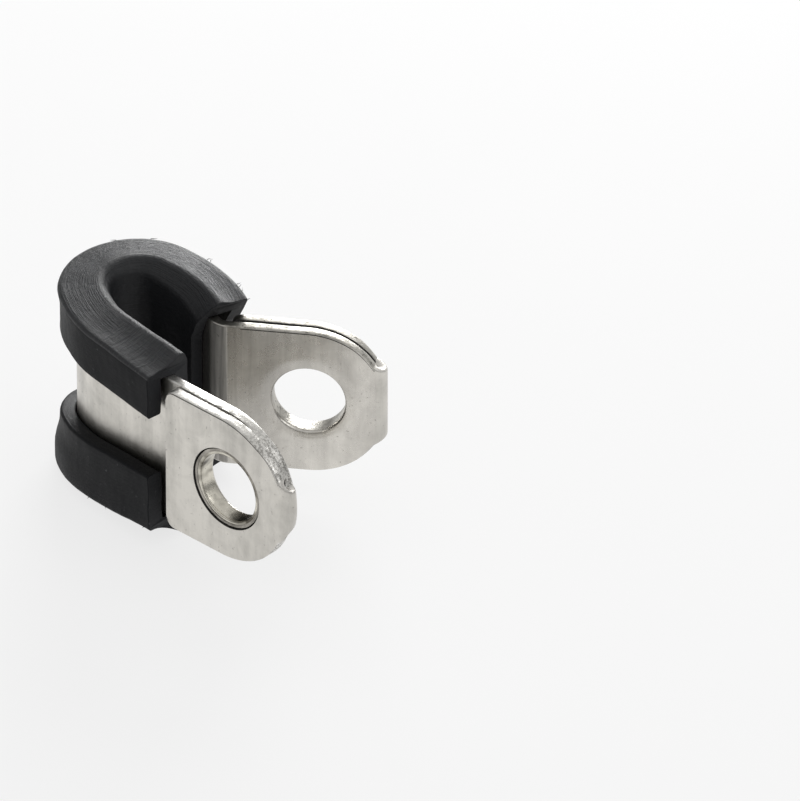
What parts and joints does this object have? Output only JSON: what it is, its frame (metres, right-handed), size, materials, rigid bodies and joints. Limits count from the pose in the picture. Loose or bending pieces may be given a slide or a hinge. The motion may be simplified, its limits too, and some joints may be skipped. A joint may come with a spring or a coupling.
{
  "type": "p clip",
  "caption": "Rubber-lined steel P clip: a lined loop, sprung open, with two doubled ears and drawn screw holes, for fixing a cable or hose to a surface",
  "frame": {"origin": "on the axis of the round back of the loop, halfway up the steel strip's width", "axes": "+Z along the axis of the cable, +X from the round back towards the ears, parallel to the near leg of the rubber, +Y from the near leg to the far leg"},
  "size_m": [0.0275, 0.018, 0.0166],
  "materials": {
    "steel": "satin, bright on its sheared edges",
    "rubber": "matt with fine extrusion lines"
  },
  "bodies": {
    "root": {"steel_band": "steel", "rubber_liner": "rubber"}
  },
  "joints": []
}
